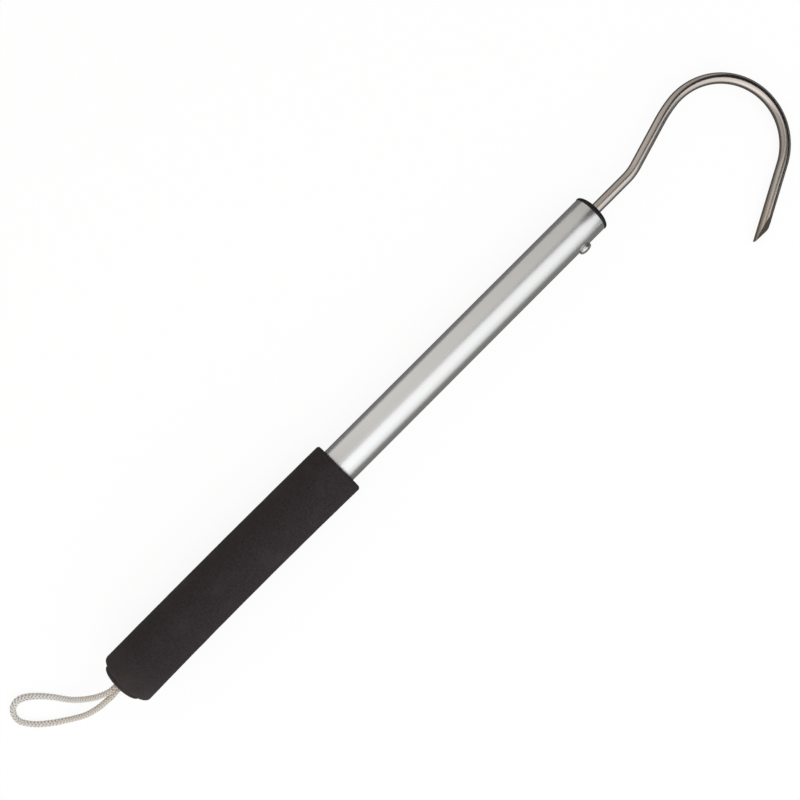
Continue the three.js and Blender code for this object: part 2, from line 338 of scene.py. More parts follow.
# Meshes. A loft is a list of rings of points; each ring closes on itself.
def loft(name, rings, material, closed=False, capped=False, wrapRadius=None, sharp=32.0):
    rings = np.asarray(rings)
    count, sides = rings.shape[:2]
    mesh = bmesh.new()
    verts = [[mesh.verts.new(point) for point in ring] for ring in rings]
    steps = np.linalg.norm(np.diff(rings.mean(axis=1), axis=0), axis=1)
    widths = np.linalg.norm(rings - rings.mean(axis=1, keepdims=True), axis=2).max(axis=1)
    steps = np.hypot(steps, np.diff(widths))
    alongs = np.concatenate([[0.0], np.cumsum(steps)])
    alongs = np.append(alongs, alongs[-1] + 0.001)  # for the step that closes a ring of rings
    girth = 2 * math.pi * (wrapRadius or widths.max())
    wrap = mesh.loops.layers.uv.new("wrap")
    for i in range(count if closed else count - 1):
        after = (i + 1) % count
        for j in range(sides):
            beside = (j + 1) % sides
            face = mesh.faces.new((verts[i][j], verts[after][j], verts[after][beside], verts[i][beside]))
            corners = ((i, j), (i + 1, j), (i + 1, j + 1), (i, j + 1))
            for loop, (row, column) in zip(face.loops, corners):
                loop[wrap].uv = (girth * column / sides, alongs[row])
    if capped:
        for ring in (verts[0], verts[-1]):
            mesh.faces.new(ring)
    bmesh.ops.remove_doubles(mesh, verts=mesh.verts, dist=1e-7)
    bmesh.ops.recalc_face_normals(mesh, faces=mesh.faces)
    return finishMesh(name, mesh, material, sharp)


def finishMesh(name, mesh, material, sharp=32.0):
    data = bpy.data.meshes.new(name)
    mesh.to_mesh(data)
    mesh.free()
    data.materials.append(material)
    data.shade_smooth()
    data.set_sharp_from_angle(angle=math.radians(sharp))
    piece = bpy.data.objects.new(name, data)
    bpy.context.scene.collection.objects.link(piece)
    return piece


# Rings round the shaft's axis, or round another line that line gives as a matrix, for an outline
# of (place along, radius)
def turnedRings(outline, sides, line=None):
    angles = 2 * math.pi * np.arange(sides) / sides
    matrix = np.array(shaft @ line if line else shaft)
    rings = []
    for along, radius in outline:
        ring = np.stack([np.full(sides, along), radius * np.sin(angles), radius * np.cos(angles)], axis=1)
        rings.append(ring @ matrix[:3, :3].T + matrix[:3, 3])
    return rings


def arcPoints(along, radius, cornerRadius, fromAngle, toAngle, steps):
    points = []
    for i in range(steps + 1):
        angle = math.radians(fromAngle + (toAngle - fromAngle) * i / steps)
        points.append((along + cornerRadius * math.cos(angle), radius + cornerRadius * math.sin(angle)))
    return points


def domePoints(along, radius, height, innerRadius, steps):
    end = math.acos(innerRadius / radius)
    angles = [end * i / steps for i in range(steps + 1)]
    return [(along + height * math.sin(a), radius * math.cos(a)) for a in angles]


def evaluatedCopy(piece):
    # the piece's modifiers become plain mesh, and the modifiers go
    bpy.context.view_layer.update()
    graph = bpy.context.evaluated_depsgraph_get()
    data = bpy.data.meshes.new_from_object(piece.evaluated_get(graph), depsgraph=graph)
    piece.modifiers.clear()
    old = piece.data
    piece.data = data
    bpy.data.meshes.remove(old)
    return piece


def cutWith(piece, cutter):
    change = piece.modifiers.new("cut", "BOOLEAN")
    change.operation, change.solver, change.object = "DIFFERENCE", "EXACT", cutter
    evaluatedCopy(piece)
    data = cutter.data
    bpy.data.objects.remove(cutter)
    bpy.data.meshes.remove(data)
    return piece


def newTree(name, inputs):
    # a tree from geometry to geometry, with a named input for each of its sizes
    tree = bpy.data.node_groups.new(name, "GeometryNodeTree")
    tree.interface.new_socket("Geometry", in_out="INPUT", socket_type="NodeSocketGeometry")
    for label, kind in inputs.items():
        tree.interface.new_socket(label, in_out="INPUT", socket_type="NodeSocket" + kind)
    tree.interface.new_socket("Geometry", in_out="OUTPUT", socket_type="NodeSocketGeometry")
    graph = Graph(tree)
    return graph, graph.add("NodeGroupInput")


def endTree(graph, geometry, material, selection=True):
    whole = graph.add("GeometryNodeRealizeInstances", None, {"Geometry": geometry})
    done = graph.add("GeometryNodeSetMaterial", None, {
        "Geometry": whole, "Selection": selection, "Material": material,
    })
    last = graph.tree.nodes.new("NodeGroupOutput")
    graph.tree.links.new(done.socket, last.inputs[0])
    return graph.tree


def applyTree(piece, tree, wanted):
    change = piece.modifiers.new("tree", "NODES")
    change.node_group = tree
    for item in tree.interface.items_tree:
        if item.in_out == "INPUT" and item.name in wanted:
            change[item.identifier] = wanted[item.name]
    return evaluatedCopy(piece)


def settle(piece, slotName, *nodes):
    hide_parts(*nodes)
    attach(piece, "root")
    return piece


# Cap in the tube's rear end, whose hole the cord comes out of
capValues = {
    "rimRadius": 0.0154, "rimGap": 0.0002, "rimBack": -0.0022, "domeHeight": 0.0039,
    "bodyRadius": 0.0123, "hollowRadius": 0.0095, "depth": 0.018, "endWall": 0.0050,
    "holeRadius": 0.0047, "edge": 0.0004, "sides": 160,
}


# Wrist cord. The route is the one that the solid cord follows: along, across and height over the
# floor, from the middle of the end cap's hole.
cordRoute = [
    (-0.0081, 0.0020, 0.0263), (-0.0116, 0.0032, 0.0247), (-0.0162, 0.0050, 0.0219),
    (-0.0219, 0.0079, 0.0176), (-0.0282, 0.0118, 0.0124), (-0.0338, 0.0160, 0.0078),
    (-0.0386, 0.0209, 0.0042), (-0.0428, 0.0261, 0.0023), (-0.0471, 0.0314, 0.00215),
    (-0.0514, 0.0359, 0.00215), (-0.0564, 0.0401, 0.00215), (-0.0622, 0.0428, 0.00215),
    (-0.0678, 0.0419, 0.00215), (-0.0714, 0.0375, 0.00215), (-0.0719, 0.0322, 0.00215),
    (-0.0696, 0.0275, 0.00215), (-0.0654, 0.0222, 0.00215), (-0.0602, 0.0175, 0.00215),
    (-0.0542, 0.0129, 0.00215), (-0.0479, 0.0088, 0.0025), (-0.0416, 0.0053, 0.005),
    (-0.0346, 0.0021, 0.0089), (-0.0272, 0.0001, 0.0135), (-0.0202, -0.0010, 0.0177),
    (-0.0137, -0.0014, 0.021), (-0.0086, -0.0017, 0.023),
]
cordValues = {
    "diameter": 0.004,
    "legSpacing": 0.0045,
    "legTilt": 55.0,  # from level to the line through both legs
    "straight": 0.004,  # out of the cap
    "inside": 0.005,  # from the cap's face to the knot
    "pointStep": 0.0005,
    "strandPairs": 4,
    "layLength": 0.0100,  # one turn of a strand round the cord
    "strandWidth": 0.00160,
    "strandThickness": 0.00085,
    "weaveDepth": 0.00018,
    "uneven": 0.35,  # how much higher the strands of one way lie, of the weave's depth
    "fullness": 1.08,
    "step": 0.0003,
    "bend": -0.059,  # where the loop bends, along from the cap, and how far the bend reaches
    "bendReach": 0.009,
    "lowerShare": 0.35,  # of the bend's flatness, on the lower leg
    "flatWide": 0.28,  # how much wider the braid lies at its bend
    "flatLow": 0.16,
    "jitter": 0.03,  # how far a strand may turn out of its even place, in radians
    "seed": 7,
}


def cordLine(values):
    mouth = onShaft(shaftSizes["rear"] + capValues["rimBack"] - capValues["domeHeight"])
    inward = (shaft.to_3x3() @ Vector((1, 0, 0))).normalized()
    across = Vector((0, 1, 0))
    upward = inward.cross(across).normalized()
    tilt = math.radians(values["legTilt"])
    toUpper = (across * math.cos(tilt) + upward * math.sin(tilt)) * (values["legSpacing"] / 2)
    depths = (values["inside"], values["inside"] / 2, -values["straight"] / 2, -values["straight"])
    upper = [mouth + inward * depth + toUpper for depth in depths]
    lower = [mouth + inward * depth - toUpper for depth in reversed(depths)]
    loop = [Vector((mouth.x + x, mouth.y + y, z)) for x, y, z in cordRoute]
    return mouth, smoothLine([*upper, *loop, *lower], values["pointStep"])


def smoothLine(points, step):
    # a centripetal Catmull-Rom curve through the points, in even steps
    points = np.array([tuple(p) for p in points])
    points = np.vstack([2 * points[0] - points[1], points, 2 * points[-1] - points[-2]])
    fine = []
    for p0, p1, p2, p3 in zip(points, points[1:], points[2:], points[3:]):
        t1 = np.linalg.norm(p1 - p0) ** 0.5
        t2 = t1 + np.linalg.norm(p2 - p1) ** 0.5
        t3 = t2 + np.linalg.norm(p3 - p2) ** 0.5
        for t in np.linspace(t1, t2, 24, endpoint=False):
            a1 = p0 * (t1 - t) / t1 + p1 * t / t1
            a2 = p1 * (t2 - t) / (t2 - t1) + p2 * (t - t1) / (t2 - t1)
            a3 = p2 * (t3 - t) / (t3 - t2) + p3 * (t - t2) / (t3 - t2)
            b1 = a1 * (t2 - t) / t2 + a2 * t / t2
            b2 = a2 * (t3 - t) / (t3 - t1) + a3 * (t - t1) / (t3 - t1)
            fine.append(b1 * (t2 - t) / (t2 - t1) + b2 * (t - t1) / (t2 - t1))
    fine = np.array([*fine, points[-2]])
    reach = np.concatenate([[0.0], np.cumsum(np.linalg.norm(np.diff(fine, axis=0), axis=1))])
    places = np.linspace(0.0, reach[-1], int(round(reach[-1] / step)) + 1)
    return np.stack([np.interp(places, reach, fine[:, axis]) for axis in range(3)], axis=1), reach[-1]


def braidTree(yarn):
    # a tree that winds strand pairs round a path and weaves them over two and under two
    graph, given = newTree("braidAlongPath", {
        "Strand Pairs": "Int", "Lay Length": "Float", "Cord Radius": "Float", "Strand Width": "Float",
        "Strand Thickness": "Float", "Weave Depth": "Float", "Uneven": "Float", "Step": "Float",
        "Flat Wide": "Float", "Flat Low": "Float", "Jitter": "Float", "Seed": "Int",
    })
    path = graph.add("GeometryNodeMeshToCurve", None, {0: given.out("Geometry")})
    path = graph.add("GeometryNodeSetCurveNormal", {"mode": "Z_UP"}, {0: path})
    path = graph.add("GeometryNodeResampleCurve", {"mode": "LENGTH"}, {
        "Curve": path, "Length": given.out("Step"),
    })
    keep = graph.add("GeometryNodeCaptureAttribute", {"domain": "POINT"})
    kept = {}
    sources = {
        "along": ("FLOAT", graph.add("GeometryNodeSplineParameter").out("Length")),
        "across": ("VECTOR", graph.add("GeometryNodeInputNormal")),
        "forward": ("VECTOR", graph.add("GeometryNodeInputTangent")),
    }
    graph.tree.links.new(path.socket, keep.node.inputs["Geometry"])
    for name, (kind, field) in sources.items():
        keep.node.capture_items.new(kind, name)
        graph.tree.links.new(field.socket, keep.node.inputs[name])
        kept[name] = keep.out(name)
    flat = graph.add("GeometryNodeInputNamedAttribute", {"data_type": "FLOAT"}, {"Name": "flatness"})
    strands = graph.add("GeometryNodeDuplicateElements", {"domain": "SPLINE"}, {
        "Geometry": keep.out("Geometry"), "Amount": given.out("Strand Pairs") * 2,
    })
    index = strands.out("Duplicate Index")
    way = 1 - (index % 2) * 2
    member = (index / 2).floor()
    pairs, lay = given.out("Strand Pairs"), given.out("Lay Length")
    chance = graph.add("FunctionNodeRandomValue", {"data_type": "FLOAT"}, {
        "Min": -1.0, "Max": 1.0, "ID": index, "Seed": given.out("Seed"),
    }, 1)
    turn = member * (2 * math.pi) / pairs + way * kept["along"] * (2 * math.pi) / lay
    turn = turn + chance * given.out("Jitter")
    beat = kept["along"] * math.pi * pairs / lay + member * math.pi - way * (math.pi / 4)
    weave = way * (beat.cosine() + given.out("Uneven"))
    middle = given.out("Cord Radius") - given.out("Weave Depth") - given.out("Strand Thickness") * 0.5
    radius = middle + given.out("Weave Depth") * weave
    upward = graph.vector("CROSS_PRODUCT", kept["forward"], kept["across"])
    flatness = flat.out("Attribute")
    wide = turn.cosine() * radius * (1 + flatness * given.out("Flat Wide"))
    high = turn.sine() * radius * (1 - flatness * given.out("Flat Low"))
    offset = graph.vector("ADD", graph.scaled(kept["across"], wide), graph.scaled(upward, high))
    lifted = graph.store(strands, "yarnLift", weave * 0.5 + 0.5)
    # each strand starts elsewhere in the yarn's pattern
    shifted = graph.store(lifted, "yarnAlong", kept["along"] + member * 0.31)
    moved = graph.add("GeometryNodeSetPosition", None, {"Geometry": shifted, "Offset": offset})
    facing = graph.add("GeometryNodeSetCurveNormal", {"mode": "FREE"}, {
        "Curve": moved, "Normal": graph.vector("NORMALIZE", offset),
    })
    section = graph.add("GeometryNodeCurvePrimitiveCircle", None, {"Resolution": 8, "Radius": 0.5})
    # across a strand the map runs from 0 to 1 round its section, and its seam lies inside the cord
    across = (graph.add("GeometryNodeSplineParameter").out("Factor") + 0.5) % 1.0
    section = graph.store(section, "yarnAcross", across)
    size = graph.joined(given.out("Strand Thickness"), given.out("Strand Width"), 1.0)
    section = graph.add("GeometryNodeTransform", None, {"Geometry": section, "Scale": size})
    yarns = graph.add("GeometryNodeCurveToMesh", None, {
        "Curve": facing, "Profile Curve": section, "Fill Caps": True,
    })
    # the core fills the cord up to near the strands' middle, so that the gaps are shallow
    coreRadius = middle - given.out("Strand Thickness") * 0.4
    coreSection = graph.add("GeometryNodeCurvePrimitiveCircle", None, {
        "Resolution": 16, "Radius": coreRadius,
    })
    core = graph.add("GeometryNodeCurveToMesh", None, {
        "Curve": path, "Profile Curve": coreSection, "Fill Caps": True,
    })
    both = graph.together(yarns, core)
    smooth = graph.add("GeometryNodeSetShadeSmooth", None, {"Geometry": both})
    return endTree(graph, smooth, yarn)


def braided(name, points, flatness, reach, tree, values, yarn):
    data = bpy.data.meshes.new(name)
    edges = [(i, i + 1) for i in range(len(points) - 1)]
    data.from_pydata([tuple(p) for p in points], edges, [])
    for attribute, levels in (("flatness", flatness), ("cordReach", reach)):
        layer = data.attributes.new(attribute, "FLOAT", "POINT")
        layer.data.foreach_set("value", np.asarray(levels, dtype=np.float32))
    data.materials.append(yarn)
    piece = bpy.data.objects.new(name, data)
    bpy.context.scene.collection.objects.link(piece)
    return applyTree(piece, tree, {
        "Strand Pairs": values["strandPairs"], "Lay Length": values["layLength"],
        "Cord Radius": values["diameter"] / 2 * values["fullness"], "Strand Width": values["strandWidth"],
        "Strand Thickness": values["strandThickness"], "Weave Depth": values["weaveDepth"],
        "Uneven": values["uneven"], "Step": values["step"], "Flat Wide": values["flatWide"],
        "Flat Low": values["flatLow"], "Jitter": values["jitter"], "Seed": values["seed"],
    })


yarnValues = {
    "filaments": 14.0,
    "twistLength": 0.0011,
    "filamentLength": 0.0030,
    "filamentHeight": 0.00008,
    "cloudSize": 0.012,
    "light": (0.715, 0.685, 0.66, 1.0),
    "shade": (0.60, 0.57, 0.55, 1.0),
    "endTone": (0.52, 0.455, 0.36, 1.0),
    "endToneReach": (0.055, 0.11),  # how far along each leg, the upper one first
    # painted shade in the braid's grooves, on sunk strands, on strand sides and on the core
    "deep": (0.34, 0.32, 0.29, 1.0),
    "hollowShade": 0.9,
    "roughness": 0.85, "bump": 0.6,
}
knotValues = {
    "loop": 0.00185,  # the trefoil's unit
    "depth": 0.0019,  # of its line, to each side of its middle
    "diameter": 0.0034,
    "seatGap": 0.0003,  # to the floor of the cap's hollow
    "steps": 240,
}

cordMouth, (cordPoints, cordLength) = cordLine(cordValues)
yarn = cordYarn(yarnValues)
braid = braidTree(yarn)


def makeCord():
    share = np.linspace(0.0, 1.0, len(cordPoints))
    values = cordValues
    away = (cordPoints[:, 0] - cordMouth.x - values["bend"]) / values["bendReach"]
    bend = np.exp(-(away ** 2)) * np.where(share < 0.5, 1.0, values["lowerShare"])
    upper, lower = yarnValues["endToneReach"]
    reach = np.clip(np.minimum(share / upper, (1 - share) / lower) * cordLength, 0.0, 1.0)
    return braided("wristCord", cordPoints, bend, reach, braid, values, yarn)


def makeKnot():
    # a closed three-lobed stopper inside the cap, flat to the cap's floor
    values = knotValues
    turns = np.linspace(0.0, 2 * math.pi, values["steps"])
    u = values["loop"]
    floor = shaftSizes["rear"] + capValues["rimBack"] - capValues["domeHeight"] + capValues["endWall"]
    middle = floor + values["seatGap"] + values["depth"] + values["diameter"] / 2
    points = [onShaft(middle - values["depth"] * math.sin(3 * t),
                      u * (math.sin(t) + 2 * math.sin(2 * t)),
                      u * (math.cos(t) - 2 * math.cos(2 * t))) for t in turns]
    sizes = dict(cordValues, diameter=values["diameter"], flatWide=0.0, flatLow=0.0)
    level = np.zeros(len(points))
    return braided("stopperKnot", points, level, level, braid, sizes, yarn)


cord, knot = makeCord(), makeKnot()
settle(cord, "white_braid", "lanyard")
settle(knot, "white_braid", "lanyard_knot")
print("cord braided", round(cordLength, 4))


# Screw's sizes, its line and the hole that the tube and the plug have for it
screwValues = {
    "setback": 0.0199, "turn": 9.0,
    "shankRadius": 0.0024, "coreRadius": 0.0019, "threadPitch": 0.0018, "neck": 0.0006,
    "headRadius": 0.0050, "headHeight": 0.0030, "headRim": 0.0008, "headEdge": 0.00015,
    "seatGap": 0.0001, "tip": 0.0060, "pointLength": 0.0035,
    "recessLength": 0.0080, "recessWidth": 0.0013, "recessDepth": 0.0019, "recessTurn": 45.0,
    "mouthShare": 1.2, "floorShare": 0.5,  # of the cross's length, above the head and at its floor
    "sides": 96, "holeRadius": 0.0027, "holeGap": 0.0003, "holeSides": 48,
    "ringReach": 0.0046,  # from the hole's middle to the rings of points that the tube has beside it
}


def screwLine():
    # a line whose x runs outwards from the shaft's axis through the screw
    turn = math.radians(screwValues["turn"])
    outward = Vector((0, -math.cos(turn), math.sin(turn)))
    upward = Vector((0, math.sin(turn), math.cos(turn)))
    turned = Matrix((outward, upward.cross(outward), upward)).transposed().to_4x4()
    station = shaftSizes["mouth"] - screwValues["setback"]
    return Matrix.Translation((station, 0, 0)) @ turned


def screwHole(start, end, material):
    # a cutter along the screw's line, between two distances out of the shaft's axis
    radius = screwValues["holeRadius"]
    rings = turnedRings([(start, radius), (end, radius)], screwValues["holeSides"], screwLine())
    return loft("hole", rings, material, capped=True)


# Shaft tube
tubeFinish = {
    "lineWidth": 0.00025, "lineLength": 0.060,
    "bandWidth": 0.0025, "bandLength": 0.30,
    "smudgeSize": 0.022,
    "markWidth": 0.00022, "markLength": 0.006, "markLimit": 0.80, "markShow": 0.35,
    "dark": (0.588, 0.588, 0.585, 1.0), "light": (0.618, 0.621, 0.624, 1.0),
    "markColor": (0.45, 0.45, 0.44, 1.0),
    "roughness": 0.28, "lineRoughness": 0.05, "smudgeRoughness": 0.05,
    "bump": 0.06, "bumpHeight": 0.00003, "metallic": 1.0,
}


def makeTube():
    sizes = shaftSizes
    outer, wall, edge = sizes["tubeRadius"], sizes["tubeWall"], sizes["edgeBreak"]
    inner = outer - wall
    rear, mouth = sizes["rear"], sizes["mouth"]
    station, half = mouth - screwValues["setback"], screwValues["ringReach"]
    outline = [
        *arcPoints(rear + edge, inner + edge, edge, 270, 180, 3),
        *arcPoints(rear + edge, outer - edge, edge, 180, 90, 3),
        (station - half, outer), (station + half, outer),
        *arcPoints(mouth - edge, outer - edge, edge, 90, 0, 4),
        *arcPoints(mouth - edge, inner + edge, edge, 0, -90, 4),
        (station + half, inner), (station - half, inner),
    ]
    metal = drawnMetal("drawnAluminium", tubeFinish)
    tube = loft("shaftTube", turnedRings(outline, sizes["sides"]), metal, closed=True, wrapRadius=outer)
    return cutWith(tube, screwHole(inner - wall, outer + wall, metal))


tube = settle(makeTube(), "tube_aluminium", "shaft_tube")
print("tube made")


# Foam grip
gripValues = {
    "radius": 0.0207, "frontRadius": 0.0022, "rearRadius": 0.0033, "boreGap": 0.0002,
    "waist": 0.0003, "endShift": 0.0008,
    "swell": 0.0009, "swellReach": 0.012, "swellFrom": 0.3, "swellFade": 0.25,
    "lumpSize": 0.012, "lumpDepth": 0.00010, "grainSize": 0.0016, "grainDepth": 0.00003,
    "ringStep": 0.0012, "sides": 160,
}
foamFinish = {
    "cellSize": 0.00055, "mottleSize": 0.0016, "scuffSize": 0.018,
    "dark": (0.015, 0.0120, 0.0130, 1.0), "light": (0.030, 0.0245, 0.0260, 1.0),
    "worn": (0.041, 0.032, 0.0335, 1.0), "roughness": 0.86, "bump": 0.55, "gloss": 0.2,
    # the end that is rubbed lighter, along X
    "rearEnd": -0.303, "rubbedLength": 0.026, "rubbed": (0.056, 0.042, 0.045, 1.0),
}


def makeGrip():
    values, sizes = gripValues, shaftSizes
    rear, radius = sizes["rear"], values["radius"]
    front, back = values["frontRadius"], values["rearRadius"]
    bore = sizes["tubeRadius"] + values["boreGap"]
    length = -rear - front - back
    count = int(round(length / values["ringStep"]))
    outline = [
        *[(rear, bore + (radius - back - bore) * i / 3) for i in range(3)],
        *arcPoints(rear + back, radius - back, back, 180, 90, 10),
        *[(rear + back + length * i / count, radius) for i in range(1, count)],
        *arcPoints(-front, radius - front, front, 90, 0, 8),
        *[(0.0, bore + (radius - front - bore) * i / 4) for i in (3, 2, 1, 0)],
    ]
    grip = loft("foamGrip", turnedRings(outline, values["sides"]), gripFoam(foamFinish), closed=True,
                wrapRadius=radius)
    toShaft = shaft.inverted()
    for vertex in grip.data.vertices:
        place = toShaft @ vertex.co
        away = Vector((0, place.y, place.z))
        share = (away.length - bore) / (radius - bore)
        if share < 0.01:
            continue
        # the sleeve is pulled on, so it is a little thinner in the middle and not quite straight
        middle = 1 - (2 * place.x / rear - 1) ** 2
        lump = noise.noise(vertex.co / values["lumpSize"]) * values["lumpDepth"]
        grain = noise.noise(vertex.co / values["grainSize"]) * values["grainDepth"]
        away.normalize()
        place += away * share * (lump + grain - values["waist"] * middle)
        place.y -= share * values["endShift"] * (1 - middle)
        rearward = max(0.0, 1 - (place.x - rear) / values["swellReach"])
        beyond = min(1.0, max(0.0, (share - values["swellFrom"]) / values["swellFade"]))
        # the rear edge swells back over the cap, most at its top
        place.x -= values["swell"] * rearward * beyond * max(0.0, away.z * 1.5 - 0.5)
        vertex.co = shaft @ place
    return grip


grip = settle(makeGrip(), "grip_foam", "foam_grip")
print("grip made")


# Plug in the tube's mouth and cap at its rear end
plasticFinish = {
    "grainSize": 0.0004, "cloudSize": 0.02,
    "dark": (0.008, 0.0064, 0.0070, 1.0), "light": (0.012, 0.0098, 0.0106, 1.0),
    "roughness": 0.45, "bump": 0.15, "gloss": 0.22,
}
plugValues = {
    "lipRadius": 0.0143, "lipGap": 0.0001, "lipFront": 0.0010, "domeHeight": 0.0042,
    "bodyRadius": 0.0123, "depth": 0.042, "bore": 0.0042, "edge": 0.0003, "sides": 160,
}
capFinish = dict(plasticFinish, dark=(0.016, 0.0120, 0.0130, 1.0), light=(0.024, 0.0185, 0.0195, 1.0))
plastic = blackPlastic("plugPlastic", plasticFinish)


def makePlug():
    values, mouth = plugValues, shaftSizes["mouth"]
    edge, lip, body, bore = values["edge"], values["lipRadius"], values["bodyRadius"], values["bore"]
    front = mouth + values["lipFront"]
    seat = mouth + values["lipGap"]
    outline = [
        (mouth - values["depth"], bore), (mouth - values["depth"], body - edge),
        (mouth - values["depth"] + edge, body), (seat, body),
        *arcPoints(seat + edge, lip - edge, edge, 180, 90, 3),
        *domePoints(front, lip, values["domeHeight"], bore + edge, 24),
    ]
    last = outline[-1]
    outline.append((last[0] - edge, bore))
    plug = loft("mouthPlug", turnedRings(outline, values["sides"]), plastic, closed=True)
    reach = screwValues["tip"] + screwValues["holeGap"]
    return cutWith(plug, screwHole(-reach, body + edge * 3, plastic))


def makeCap():
    values, rear = capValues, shaftSizes["rear"]
    edge, rim, body = values["edge"], values["rimRadius"], values["bodyRadius"]
    seat = -values["rimGap"]
    front = values["rimBack"]
    apex = front - values["domeHeight"]
    floor = apex + values["endWall"]
    hole = values["holeRadius"]
    dome = [(2 * front - x, r) for x, r in domePoints(front, rim, values["domeHeight"], hole + edge, 28)]
    last = dome[-1]
    outline = [
        (values["depth"], values["hollowRadius"]), (values["depth"], body - edge),
        (values["depth"] - edge, body), (seat, body),
        *[(2 * (seat - edge) - x, r) for x, r in arcPoints(seat - edge, rim - edge, edge, 180, 90, 3)],
        *dome, (last[0] + edge, hole), (floor, hole), (floor, values["hollowRadius"]),
    ]
    outline = [(rear + x, r) for x, r in outline]
    rings = turnedRings(outline, values["sides"])
    return loft("rearCap", rings, blackPlastic("capPlastic", capFinish), closed=True)


plug = settle(makePlug(), "black_plastic", "hook_plug")
cap = settle(makeCap(), "black_plastic", "end_cap")
print("plug and cap made")


# Hook
hookValues = {
    "radius": 0.004, "depth": 0.045, "reach": 0.0363,
    "heelRadius": 0.040, "heelTurn": 16.6, "throat": 0.0358,
    "easeRadius": 0.100, "easeTurn": 9.2,
    "bowRadius": 0.0465, "bowTurn": 159.1,
    "leg": 0.0604, "steepFacet": 0.0125, "longFacet": 0.0225, "facetTurn": 53.0,
    "bluntWidth": 0.0010, "bluntAngle": 75.0,
    "tipPart": 0.026,  # the end of the leg that is ground
    "sides": 64, "runStep": 0.004, "turnStep": 1.5,
}
hookFinish = {
    "lineWidth": 0.00030, "lineLength": 0.050,
    "bandWidth": 0.0016, "bandLength": 0.12,
    "smudgeSize": 0.012,
    "markWidth": 0.00018, "markLength": 0.004, "markLimit": 0.78, "markShow": 0.3,
    "dark": (0.385, 0.345, 0.315, 1.0), "light": (0.47, 0.43, 0.40, 1.0),
    "markColor": (0.25, 0.22, 0.20, 1.0),
    "roughness": 0.20, "lineRoughness": 0.08, "smudgeRoughness": 0.06,
    "bump": 0.10, "bumpHeight": 0.00003, "metallic": 1.0,
    # the wire is stained brown towards its point, along from its rear end
    "stainStart": 0.293, "stainReach": 0.04, "stain": (1.02, 0.93, 0.84),
}
groundFinish = dict(
    hookFinish, lineWidth=0.00012, lineLength=0.00025, bandWidth=0.0006, bandLength=0.0006,
    dark=(0.15, 0.125, 0.112, 1.0), light=(0.22, 0.188, 0.170, 1.0),
    roughness=0.34, lineRoughness=0.16, bump=0.3,
)


def hookStations(values):
    # places and headings along the wire's middle line, in the hook's plane
    stations = []
    place, heading = np.array([-values["depth"], 0.0]), 0.0

    def run(length):
        nonlocal place
        count = max(1, int(round(length / values["runStep"])))
        way = np.array([math.cos(heading), math.sin(heading)])
        for i in range(count):
            stations.append((place + way * length * i / count, heading))
        place = place + way * length

    def bend(radius, turn):
        nonlocal place, heading
        side = math.copysign(1.0, turn)
        middle = place + side * radius * np.array([-math.sin(heading), math.cos(heading)])
        start = heading
        count = int(round(abs(turn) / values["turnStep"]))
        for i in range(count + 1):
            now = start + math.radians(turn) * i / count
            spot = middle - side * radius * np.array([-math.sin(now), math.cos(now)])
            if i < count:
                stations.append((spot, now))
        place, heading = spot, start + math.radians(turn)

    run(values["depth"] + values["reach"])
    bend(values["heelRadius"], values["heelTurn"])
    run(values["throat"])
    bend(values["easeRadius"], -values["easeTurn"])
    bend(values["bowRadius"], -values["bowTurn"])
    run(values["leg"] - values["tipPart"])
    tipStart = len(stations)
    run(values["tipPart"])
    stations.append((place, heading))
    return stations, tipStart


def makeHook():
    values = hookValues
    radius, mouth = values["radius"], shaftSizes["mouth"]
    stations, tipStart = hookStations(values)
    angles = 2 * math.pi * np.arange(values["sides"]) / values["sides"]
    turned = np.array(shaft)
    rings = []
    for place, heading in stations:
        side = np.array([-math.sin(heading), math.cos(heading), 0.0])
        ring = np.array([mouth + place[0], place[1], 0.0])
        ring = ring + radius * (np.outer(np.cos(angles), side) + np.outer(np.sin(angles), [0, 0, 1]))
        rings.append(ring @ turned[:3, :3].T + turned[:3, 3])
    steel = drawnMetal("brightWire", hookFinish)
    hook = loft("gaffHook", rings, steel, capped=True, wrapRadius=radius, sharp=10.0)
    hook.data.materials.append(drawnMetal("groundPoint", groundFinish))
    grindPoint(hook, stations, tipStart)
    return hook


